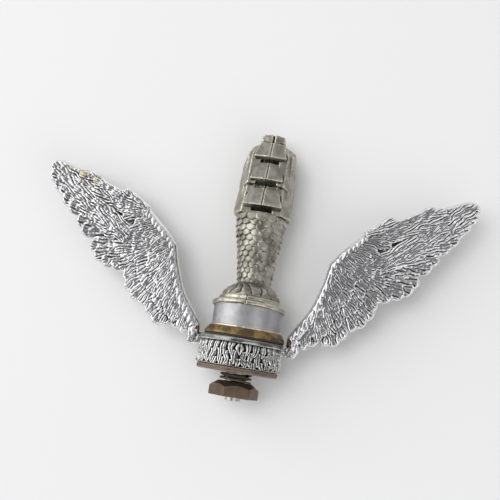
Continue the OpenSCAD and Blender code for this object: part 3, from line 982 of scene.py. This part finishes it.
def one_feather(u, v, feather, seed, strength):
    """The depth inside one feather's outline, and its height, over the plane."""
    tip_u, tip_v, direction, length, width, level = feather
    is_flight = level == FLIGHT_LEVEL
    c, d = math.cos(math.radians(direction)), math.sin(math.radians(direction))
    s = (u - tip_u) * c + (v - tip_v) * d + length
    t = -(u - tip_u) * d + (v - tip_v) * c
    t = t + 0.35 * ripple(s, t * 0, 7, seed)
    end = length - 0.6 * width
    stations, widths = [0, 0.45 * length, end], [0.3 * width, 0.46 * width, 0.5 * width]
    tip_share = np.clip((s - end) / (0.6 * width), 0, 1)
    half = np.interp(s, stations, widths) * np.sqrt(1 - tip_share ** 2)
    depth = np.minimum(np.minimum(half - np.abs(t), length - s), s + 0.5)
    across = np.clip(np.abs(t) / np.maximum(half, 0.05), 0, 1)
    # the coverts sink softly into the feathers below them
    tip_ease = np.clip((length - s) / (1.6 if is_flight else 4), 0, 1)
    crown = 0.5 * np.sqrt(1 - across ** 3) * np.sqrt(1 - (1 - tip_ease) ** 2)
    shaft = 0.16 * np.exp(-(t / 0.4) ** 2) * np.clip(s / length, 0, 1)
    # the barbs keep a width of their own, so that they don't crowd together at the root and the tip
    vane = np.interp(s, [*stations, length], [0.34 * width, *widths[1:], 0.42 * width])
    warp = 0.5 * ripple(u, v, 3.6, seed + 1)
    phase = BARBS_ACROSS * np.abs(t) / vane / 2 - s / BARB_SWEEP + warp
    broken = 0.75 + 0.55 * ripple(u, v, 2.7, seed + 2)
    barbs = BARB_HEIGHT * np.sin(2 * math.pi * phase) * broken * np.clip(np.abs(t) / 0.8, 0.2, 1)
    lift = (0.4 if is_flight else 0.1) * np.clip((s - length + 4) / 4, 0, 1)
    return depth, level + crown + strength * (shaft + barbs) + 0.075 * t + lift


print("barbs %.1f mm apart on a feather 8 mm wide" % (8 / BARBS_ACROSS))

# %% [markdown]
# The web, the feathers and the arm are drawn on one fine grid. For each of its points two numbers are
# kept: how deep the point lies inside the wing's outline, and how high the highest shape stands
# there. The back of the wing has the same outline with shallower barbs.

# %% Height fields
GRID = 0.3
WEB_HEIGHT = 1.2


def segment_gap(u, v, a, b):
    """The distance to a segment and the share of the way along it."""
    au, av, du, dv = a[0], a[1], b[0] - a[0], b[1] - a[1]
    t = np.clip(((u - au) * du + (v - av) * dv) / (du * du + dv * dv), 0, 1)
    return np.hypot(u - au - t * du, v - av - t * dv), t


def polygon_depth(u, v, corners):
    """The distance inside a polygon, negative outside it."""
    gap = np.full(u.shape, 1e9)
    inside = np.zeros(u.shape, bool)
    for a, b in zip(corners, corners[1:] + corners[:1]):
        gap = np.minimum(gap, segment_gap(u, v, a, b)[0])
        crosses = (a[1] > v) != (b[1] > v)
        at = a[0] + (v - a[1]) / ((b[1] - a[1]) or 1e-9) * (b[0] - a[0])
        inside ^= crosses & (u < at)
    return np.where(inside, gap, -gap)


def wing_fields(seed, strength):
    """The wing's outline depth and its height over a grid."""
    u, v = np.meshgrid(np.arange(-2, 97, GRID), np.arange(-13, 90, GRID), indexing="ij")
    outline = polygon_depth(u, v, WEB)
    height = np.where(outline > 0, WEB_HEIGHT, 0)
    for number, feather in enumerate(feather_rows()):
        depth, high = one_feather(u, v, feather, seed + 3 * number, strength)
        outline = np.maximum(outline, depth)
        height = np.where(depth > 0, np.maximum(height, high), height)
    for a, b in zip(ARM, ARM[1:]):
        gap, t = segment_gap(u, v, a, b)
        radius = a[2] + (b[2] - a[2]) * t
        outline = np.maximum(outline, radius - gap)
        round_over = np.sqrt(np.clip(radius ** 2 - gap ** 2, 0, None)) * 0.94
        inwards = np.clip((radius - gap - 0.9) / 0.8, 0, 1)
        waves = np.sin(2 * math.pi * (u * 0.7 + v * 0.2) / 1.9 + 3 * ripple(u, v, 4, 7))
        tube = round_over + 0.14 * strength * waves * inwards
        height = np.where(gap < radius, np.maximum(height, tube), height)
    height = height + 0.09 * ripple(u, v, 0.9, seed + 200) + 0.12 * ripple(u, v, 2.1, seed + 201)
    return u, v, outline, height * np.sqrt(np.clip(outline / 1.1, 0, 1))


print("grid step %.1f mm" % GRID)

# %% [markdown]
# The grid's cells inside the outline become faces, once in front and once behind. The border of such
# a sheet would be a staircase, so its points are moved along the slope of the outline's depth until
# they lie on the outline. Front and back share those points, which closes the wing.

# %% Wing sheet


def count_cells(kept):
    """How many of the kept cells meet at each point of the grid."""
    count = np.zeros((kept.shape[0] + 1, kept.shape[1] + 1), int)
    for i in (0, 1):
        for j in (0, 1):
            count[i:i + kept.shape[0], j:j + kept.shape[1]] += kept
    return count


def all_corners(flags):
    """For each cell, whether all four of its corners are set."""
    return flags[:-1, :-1] & flags[1:, :-1] & flags[1:, 1:] & flags[:-1, 1:]


def wing_sheet(seed):
    """Points and faces of a wing in its own plane: out, up, and towards the viewer."""
    u, v, outline, front = wing_fields(seed, 1.0)
    back = wing_fields(seed + 500, 0.8)[3]
    cells = all_corners(outline > 0)
    # cells that touch nothing but the rim are thin bridges and spikes
    for _ in range(3):
        cells &= ~all_corners(count_cells(cells) < 4)
    count = count_cells(cells)
    used, rim = count > 0, (count > 0) & (count < 4)
    inner = used & ~rim
    slope_u, slope_v = np.gradient(outline, GRID)
    steep = np.maximum(np.hypot(slope_u, slope_v), 0.3)
    step = np.clip(outline, 0, 1.5 * GRID) / steep
    u = np.where(rim, u - step * slope_u / steep, u)
    v = np.where(rim, v - step * slope_v / steep, v)
    front = np.where(rim, 0, front)
    front_number = np.cumsum(used.ravel()).reshape(used.shape) - 1
    back_number = used.sum() + np.cumsum(inner.ravel()).reshape(used.shape) - 1
    back_number = np.where(rim, front_number, back_number)
    spots = np.concatenate([np.stack([u[used], v[used], front[used]], axis=1),
                            np.stack([u[inner], v[inner], -back[inner]], axis=1)])
    i, j = np.nonzero(cells)
    corners = ((i, j), (i + 1, j), (i + 1, j + 1), (i, j + 1))
    faces = [np.stack([number[a, b] for a, b in order], axis=1)
             for number, order in ((front_number, corners), (back_number, corners[::-1]))]
    return spots, np.concatenate(faces)


print("cells at the middle of a full grid: %d" % count_cells(np.ones((2, 2), bool))[1, 1])

# %% [markdown]
# Both wings use one drawing, with other random numbers. They were not set alike: the right one stands
# a little steeper, and the left one sits a little further in. The root keeps clear of the disc that
# the wings turn round.

# %% Placing the wings
WING_SET = math.radians(2.3)
WING_REACH = COLLAR_R - 0.2
WING_FOOT = COLLAR_H + 1.1
ROOT_CLEAR_R = COLLAR_R + 0.25
ROOT_IN_COLLAR_R = COLLAR_R - 1.2


def wing_piece(name, node, side, seed, inset, turn):
    """A wing at side +1, right, or -1, left, set inwards by inset and turned about its root."""
    spots, faces = wing_sheet(seed)
    angle = side * (WING_SET + turn)
    out = WING_REACH - inset + spots[:, 0] * math.cos(angle) - spots[:, 1] * math.sin(angle)
    height = WING_FOOT + spots[:, 0] * math.sin(angle) + spots[:, 1] * math.cos(angle)
    clear = np.sqrt(np.maximum(ROOT_CLEAR_R ** 2 - spots[:, 2] ** 2, 0))
    out = np.maximum(out, np.where(height > COLLAR_H - 0.2, clear, ROOT_IN_COLLAR_R))
    placed = np.stack([side * out, -spots[:, 2], height], axis=1)
    mesh = bpy.data.meshes.new(name)
    mesh.from_pydata((placed * MM).tolist(), [], faces.tolist())
    clean_mesh(mesh, 0.004, shortest=0.0004)
    low, high = box_mm(node)
    print("%s past its box: low %s high %s" % (name, (placed.min(axis=0) - low).round(1),
                                               (placed.max(axis=0) - high).round(1)))
    finish_piece(mesh, chrome, "winged_collar", [node])


wing_piece("cast_wing_right", "wing_right", 1, 100, 0, math.radians(0.6))
wing_piece("cast_wing_left", "wing_left", -1, 300, 1.0, 0)

# %% [markdown]
# ### Rivets
#
# A rivet holds each wing's root to a lug on the collar. Its two heads are low domes, peened by hand.

# %% Rivets
SHANK_R = 1.25
HEAD_H = 1.1
RIVET_POLE_R = 0.001


def rivet_piece():
    """Both rivets as one mesh, each turned upright and laid along the Y axis."""
    low, high = box_mm("wing_rivets")
    reach = high[1]
    head_r = (high[2] - low[2]) / 2
    shank = reach - HEAD_H
    x, z = high[0] - head_r, (high[2] + low[2]) / 2
    half = [(RIVET_POLE_R, -reach), (head_r * 0.55, -reach), (head_r, -shank), (SHANK_R, -shank)]
    outline = rounded(half + [(r, -y) for r, y in reversed(half)], 0.5, 0.5)
    work = bmesh.new()
    for side in (-1, 1):
        place = Matrix.Translation((side * x, 0, z)) @ Matrix.Rotation(math.pi / 2, 4, "X")
        work.from_mesh(turned_mesh("rivet", outline, 40, relief=uneven(0.06, 1.4, 71), tilt=place))
    both = bpy.data.meshes.new("peened_rivets")
    work.to_mesh(both)
    work.free()
    finish_piece(both, chrome, "winged_collar", ["wing_rivets"])


rivet_piece()

# %% [markdown]
# ## Mound and mail sleeve
#
# The mound is a bell with tall, rounded lumps, like knuckles, pressed against its side. It is turned,
# with the lumps as relief. The sleeve is a plain taper that sways to one side and carries rows of
# scales. The taper and the mound are one casting, so they are one mesh.

# %% Measures of the mound and the sleeve
MOUND_H = 7.7
MOUND_FOOT_R = 14.4
SPIGOT_R = 12.6
SLEEVE_Z = BEZEL_H + MOUND_H
SLEEVE_H = 35
SLEEVE_STUB = 0.6
CORE_BORE = 4.5


def sleeve_radius(share):
    """The sleeve's radius at a share of its height."""
    return 7.7 + 4.6 * np.power(np.clip(share, 0, 1), 1.15)


def sleeve_sway(share):
    """How far right the sleeve's middle stands at a share of its height."""
    return 0.6 - 1.8 * np.clip(share, 0, 1)


print("sleeve radius %.1f mm at its foot, %.1f mm at the wrist" % (sleeve_radius(0), sleeve_radius(1)))

# %% [markdown]
# The outline runs up a spigot in the bezel, out to the mound's foot, in along the bell and out again
# along the sleeve. Relief only moves points in or out, so the sway is turned into a change of radius:
# moving a ring to the side changes its distance from the axis by the sway's part in each direction.

# %% Mound and sleeve core
LUMPS = 15
MOUND_STEPS = 12
SLEEVE_STEPS = 14


def core_outline():
    """The outline of the spigot, the mound and the sleeve."""
    spots = [(CORE_BORE, 0.2), (SPIGOT_R, 0.2), (SPIGOT_R, BEZEL_H - 0.3), (MOUND_FOOT_R, BEZEL_H - 0.2)]
    for k in range(1, MOUND_STEPS + 1):
        s = k / MOUND_STEPS
        spots.append((MOUND_FOOT_R - 5.6 * s ** 1.7 - 0.4 * s, BEZEL_H + MOUND_H * s))
    for k in range(1, SLEEVE_STEPS + 1):
        s = k / SLEEVE_STEPS
        spots.append((float(sleeve_radius(s)) - 0.2, SLEEVE_Z + (SLEEVE_H + SLEEVE_STUB) * s))
    spots.append((CORE_BORE, SLEEVE_Z + SLEEVE_H + SLEEVE_STUB))
    return rounded(spots, 0.4, 0.45)


def cast_core(angle, rr, zz):
    """The relief of the core: lumps round the mound, mottle elsewhere, and the sleeve's sway."""
    outside = rr > 6
    on_mound = np.clip((zz - BEZEL_H) / 1.0, 0, 1) * np.clip((SLEEVE_Z + 0.5 - zz) / 1.5, 0, 1)
    share = np.clip((zz - BEZEL_H) / MOUND_H, 0, 1)
    around = angle / (2 * math.pi) * LUMPS + 0.5 * ring_ripple(angle, zz / 4, LUMPS, 81)
    petal = np.abs(np.cos(math.pi * around)) ** 0.5
    curl = np.sin(math.pi * np.clip(share * 1.15, 0, 1)) ** 0.6
    lumps = (petal - 0.55) * 1.9 * curl + 0.25 * ripple(around * 3, zz / 0.9, 1, 83, LUMPS * 3)
    mottle = 0.14 * ring_ripple(angle, zz / 1.2, 40, 85)
    rough = rr + np.where(outside, on_mound * lumps + (1 - on_mound) * mottle, 0)
    radius = np.where((zz < BEZEL_H + 0.2) & outside, np.minimum(rough, MOUND_FOOT_R + 0.1), rough)
    radius = np.where(zz < BEZEL_H - 0.25, np.minimum(rr, SPIGOT_R), radius)
    sway = np.where(zz > SLEEVE_Z, sleeve_sway((zz - SLEEVE_Z) / SLEEVE_H), sleeve_sway(0) * share)
    return radius + sway * np.cos(angle), zz


core = turned_mesh("mound_core", core_outline(), 300, (0, 0), cast_core, on_drum)
finish_piece(core, figure_metal, "figure", ["mail_sleeve"])

# %% [markdown]
# ### Scales
#
# Mail on a small casting is a pattern of scales, each lapping the two below it. They repeat, so
# Geometry Nodes places one scale on points. The one scale is a curved shield with a few dozen faces:
# straight at its root, round at its tip, crowned across, and standing out towards its tip.

# %% One scale
SCALE_BACK = 0.24


def one_scale():
    """A scale of width 1 and height 1, hanging down from its root, its outside towards +Y."""
    columns, rows = 7, 5
    spots = []
    for j in range(rows):
        drop = j / (rows - 1)
        half = 0.5 * (1 if drop < 0.5 else math.sqrt(1 - (2 * drop - 1) ** 2 * 0.82))
        for i in range(columns):
            x = -1 + 2 * i / (columns - 1)
            rise = 0.22 * (1 - x * x) + 0.34 * drop
            spots.append((x * half, rise, -drop * (1 - 0.12 * x * x * drop)))
    # the border, point by point round the shield, and the same border behind it
    ring = (list(range(columns)) + [j * columns + columns - 1 for j in range(1, rows)]
            + [(rows - 1) * columns + i for i in range(columns - 2, -1, -1)]
            + [j * columns for j in range(rows - 2, 0, -1)])
    behind = [(spots[k][0] * 0.9, spots[k][1] - SCALE_BACK, spots[k][2]) for k in ring]
    back = range(len(spots), len(spots) + len(ring))
    faces = grid_faces(rows, columns, False, False).tolist()
    faces += [list(side) for side in zip(ring, ring[1:] + ring[:1], [*back[1:], back[0]], back)]
    faces.append(list(back))
    mesh = bpy.data.meshes.new("scale")
    mesh.from_pydata(spots + behind, [], faces)
    return clean_mesh(mesh, 0)


scale = one_scale()
print("one scale: %d faces" % len(scale.polygons))

# %% [markdown]
# The points carry each scale's turn and size, both a bit uneven, as a hand-cut pattern is. Every
# second row is set over by half a scale. A seam runs up the sleeve's front, and the scales in the
# column beside it are larger and stand out more.

# %% Points for the scales
SCALE_ROWS = 13
SCALES_ROUND = 14
SEAM = math.radians(-98)


def scale_points():
    """A mesh of points on the sleeve, with the turn and the size of the scale on each."""
    chance = np.random.default_rng(12)
    places, turns, sizes = [], [], []
    for row in range(SCALE_ROWS):
        share = (row + 1.05) / SCALE_ROWS
        radius = float(sleeve_radius(share))
        width = 2 * math.pi * radius / SCALES_ROUND * 1.12
        for k in range(SCALES_ROUND):
            column = k + 0.5 + 0.5 * (row % 2)
            angle = SEAM + column * 2 * math.pi / SCALES_ROUND + chance.normal(0, 0.02)
            larger, lift = (1.18, 0.25) if k == 0 else (1.0, 0.0)
            r = radius - 0.22 + lift
            places.append((r * math.cos(angle) + float(sleeve_sway(share)), r * math.sin(angle),
                           SLEEVE_Z + SLEEVE_H * share))
            lean_out = math.radians(-3.5 + chance.normal(0, 2))
            turns.append((lean_out, chance.normal(0, 0.07), angle - math.pi / 2))
            grow = chance.uniform(0.93, 1.07)
            sizes.append((width * larger * grow, 2.2 * grow, 4.1 * larger * grow))
    mesh = bpy.data.meshes.new("scale_points")
    mesh.from_pydata([tuple(on_drum @ Vector(place) * MM) for place in places], [], [])
    for name, vectors in (("turn", turns), ("size", sizes)):
        layer = mesh.attributes.new(name, "FLOAT_VECTOR", "POINT")
        layer.data.foreach_set("vector", np.array(vectors, np.float32).ravel())
    return mesh


points = scale_points()
print("scales: %d" % len(points.vertices))

# %% [markdown]
# The tree sets the scale on each point, turned and sized by the two values stored there. The scale
# comes in as an object, which goes once the result is a plain mesh.

# %% Scales


def stored_vector(tree, name):
    """The vectors that a mesh's points carry under a name."""
    node = tree.nodes.new("GeometryNodeInputNamedAttribute")
    node.data_type = "FLOAT_VECTOR"
    node.inputs["Name"].default_value = name
    return node.outputs[0]


def scale_tree():
    """A tree that places one scale on every point."""
    tree, take, give = new_tree("scales_on_points", (("Scale", "NodeSocketObject"),
                                                     ("Unit", "NodeSocketFloat")))
    shape = tree.nodes.new("GeometryNodeObjectInfo")
    place = tree.nodes.new("GeometryNodeInstanceOnPoints")
    unit = tree.nodes.new("ShaderNodeVectorMath")
    unit.operation = "SCALE"
    for source, target in ((take.outputs["Scale"], shape.inputs["Object"]),
                           (take.outputs["Geometry"], place.inputs["Points"]),
                           (shape.outputs["Geometry"], place.inputs["Instance"]),
                           (stored_vector(tree, "turn"), place.inputs["Rotation"]),
                           (stored_vector(tree, "size"), unit.inputs[0]),
                           (take.outputs["Unit"], unit.inputs["Scale"]),
                           (unit.outputs[0], place.inputs["Scale"])):
        tree.links.new(source, target)
    end_tree(tree, take, give, place.outputs[0])
    return tree


pattern = bpy.data.objects.new("scale_pattern", scale)
bpy.context.scene.collection.objects.link(pattern)
mail = bake_tree("mail_scales", scale_tree(), points,
                 {"Scale": pattern, "Unit": MM, "Material": scale_metal})
bpy.data.objects.remove(pattern)
finish_piece(mail, scale_metal, "figure", [], rounds=1)

# %% [markdown]
# ## Hand
#
# The plated hand is cast in one with its fingers, lames and thumb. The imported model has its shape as
# sharp blocks, and a casting has soft edges and small dents. So a copy is welded, rebuilt by a voxel
# remesh, smoothed a little and dented. A groove parts the two plates of each tier.

# %% Hand
HAND_VOXEL = 0.3
GROOVE_HALF_W = 0.4
GROOVE_DEPTH = 0.4


def soft_copy(node):
    """A node's mesh with softened edges."""
    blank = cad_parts[node].data.copy()
    blank.name = "hand_blank"
    holder = bpy.data.objects.new("hand_maker", clean_mesh(blank, 0.005))
    bpy.context.scene.collection.objects.link(holder)
    remesh = holder.modifiers.new("cast", "REMESH")
    remesh.mode = "VOXEL"
    remesh.voxel_size = HAND_VOXEL * MM
    soften = holder.modifiers.new("soften", "SMOOTH")
    soften.factor = 0.5
    soften.iterations = 2
    return evaluated_mesh("plated_hand", holder)


def hand_piece():
    """The hand, dented and grooved."""
    made = soft_copy("gauntlet")
    spots, normals = vertex_rows(made, "co") / MM, vertex_rows(made, "normal")
    x, y, z = spots.T
    dents = 0.1 * ripple(x + 0.3 * y, z, 3.2, 91) + 0.06 * ripple(x + y, z - y, 1.1, 92) - 0.05
    middle = (x.min() + x.max()) / 2
    # the groove is cut only where the surface faces the front
    groove = np.exp(-((x - middle) / GROOVE_HALF_W) ** 2) * np.clip(-normals[:, 1], 0, 1)
    spots = (spots + normals * (dents - GROOVE_DEPTH * groove)[:, None]) * MM
    made.vertices.foreach_set("co", spots.ravel())
    for face in made.polygons:
        face.use_smooth = True
    finish_piece(made, hand_metal, "figure", ["gauntlet"])


hand_piece()

# %% [markdown]
# ## Table
#
# The ornament lies on its back, so the pale table stands behind it in the model's own frame. It is
# seen from the front only, so that other views see the ornament's back: the shader of its rear side
# is transparent.

# %% Table
TABLE_HALF = 3000
TABLE_Y = 22.2


def table():
    """A wide board just behind the collar's rearmost point."""
    mesh = bpy.data.meshes.new("table")
    corners = [(-TABLE_HALF, TABLE_Y, -TABLE_HALF), (-TABLE_HALF, TABLE_Y, TABLE_HALF),
               (TABLE_HALF, TABLE_Y, TABLE_HALF), (TABLE_HALF, TABLE_Y, -TABLE_HALF)]
    mesh.from_pydata([tuple(c * MM for c in corner) for corner in corners], [], [(3, 2, 1, 0)])
    board = bpy.data.objects.new("table", mesh)
    bpy.context.scene.collection.objects.link(board)
    material = bpy.data.materials.new("table_white")
    material.use_nodes = True
    tree = material.node_tree
    shader = tree.nodes["Principled BSDF"]
    shader.inputs["Base Color"].default_value = (0.8, 0.8, 0.8, 1)
    shader.inputs["Roughness"].default_value = 0.9
    shader.inputs["Specular IOR Level"].default_value = 0.2
    clear = tree.nodes.new("ShaderNodeBsdfTransparent")
    side = tree.nodes.new("ShaderNodeNewGeometry")
    mix = tree.nodes.new("ShaderNodeMixShader")
    for source, target in ((side.outputs["Backfacing"], mix.inputs[0]), (shader.outputs[0], mix.inputs[1]),
                           (clear.outputs[0], mix.inputs[2]),
                           (mix.outputs[0], tree.nodes["Material Output"].inputs["Surface"])):
        tree.links.new(source, target)
    mesh.materials.append(material)
    print("table faces", tuple(round(c, 1) for c in mesh.polygons[0].normal))


table()

# %% [markdown]
# ## Light
#
# A large key light stands to the left and a weaker fill low on the right, as in a small studio. Light
# from the front opens the shadows round the wings, and the metal doesn't mirror it.

# %% Light


def area_light(name, place, size_m, power):
    """A soft square light at a place in metres, aimed at the ornament."""
    data = bpy.data.lights.new(name, "AREA")
    data.shape = "SQUARE"
    data.size = size_m
    data.energy = power
    light = bpy.data.objects.new(name, data)
    bpy.context.scene.collection.objects.link(light)
    light.location = place
    aim = Vector((0, 0, 0.05)) - Vector(place)
    light.rotation_euler = aim.to_track_quat("-Z", "Y").to_euler()
    return light


area_light("key", (-1.15, -0.8, 0.25), 1.8, 10.5)
area_light("fill", (0.7, -1.0, -0.5), 1.2, 3.5)
front = area_light("front", (-0.35, -1.6, 0.2), 0.8, 9.5)
front.visible_glossy = False
print("lights:", ", ".join(light.name for light in bpy.data.lights))

# %% [markdown]
# Chrome shows what is round it. So the world that only mirrors see is a bright tent, with a dark
# opening where the viewer stands, shade from below and from the right, and a few dark patches that
# break up the highlights. For all other light the world is one even grey.

# %% Surroundings


def tent_world():
    """A world with a tent for reflections, an even light, and a pale ground behind the model."""
    world = bpy.data.worlds.new("tent")
    world.use_nodes = True
    sky = world.node_tree
    direction = sky.nodes.new("ShaderNodeTexCoord").outputs["Generated"]
    apart = sky.nodes.new("ShaderNodeSeparateXYZ")
    sky.links.new(direction, apart.inputs[0])

    def share(value, low, high, strength):
        return link_maths(sky, "MULTIPLY", link_step(sky, value, low, high), strength)

    opening = share(link_maths(sky, "MULTIPLY", apart.outputs["Y"], -1), 0.7, 0.97, 0.75)
    below = share(link_maths(sky, "MULTIPLY", apart.outputs["Z"], -1), 0.1, 0.8, 0.8)
    right_side = share(apart.outputs["X"], 0.2, 0.9, 0.6)
    patches = share(link_noise(sky, 2.6, 1, direction), 0.42, 0.58, 0.55)
    dark = opening
    for part in (below, right_side, patches):
        dark = link_maths(sky, "MAXIMUM", dark, part)
    tent = link_mix(sky, dark, (1.0, 1.0, 1.0, 1), (0.03, 0.03, 0.03, 1))
    rays = sky.nodes.new("ShaderNodeLightPath").outputs
    lit = link_mix(sky, rays["Is Glossy Ray"], (0.47, 0.47, 0.475, 1), tent)
    ground = link_mix(sky, rays["Is Camera Ray"], lit, (0.86, 0.86, 0.87, 1))
    sky.links.new(ground, sky.nodes["Background"].inputs["Color"])
    return world


bpy.context.scene.world = tent_world()
bpy.context.scene.view_settings.view_transform = "Standard"
print("world:", bpy.context.scene.world.name)
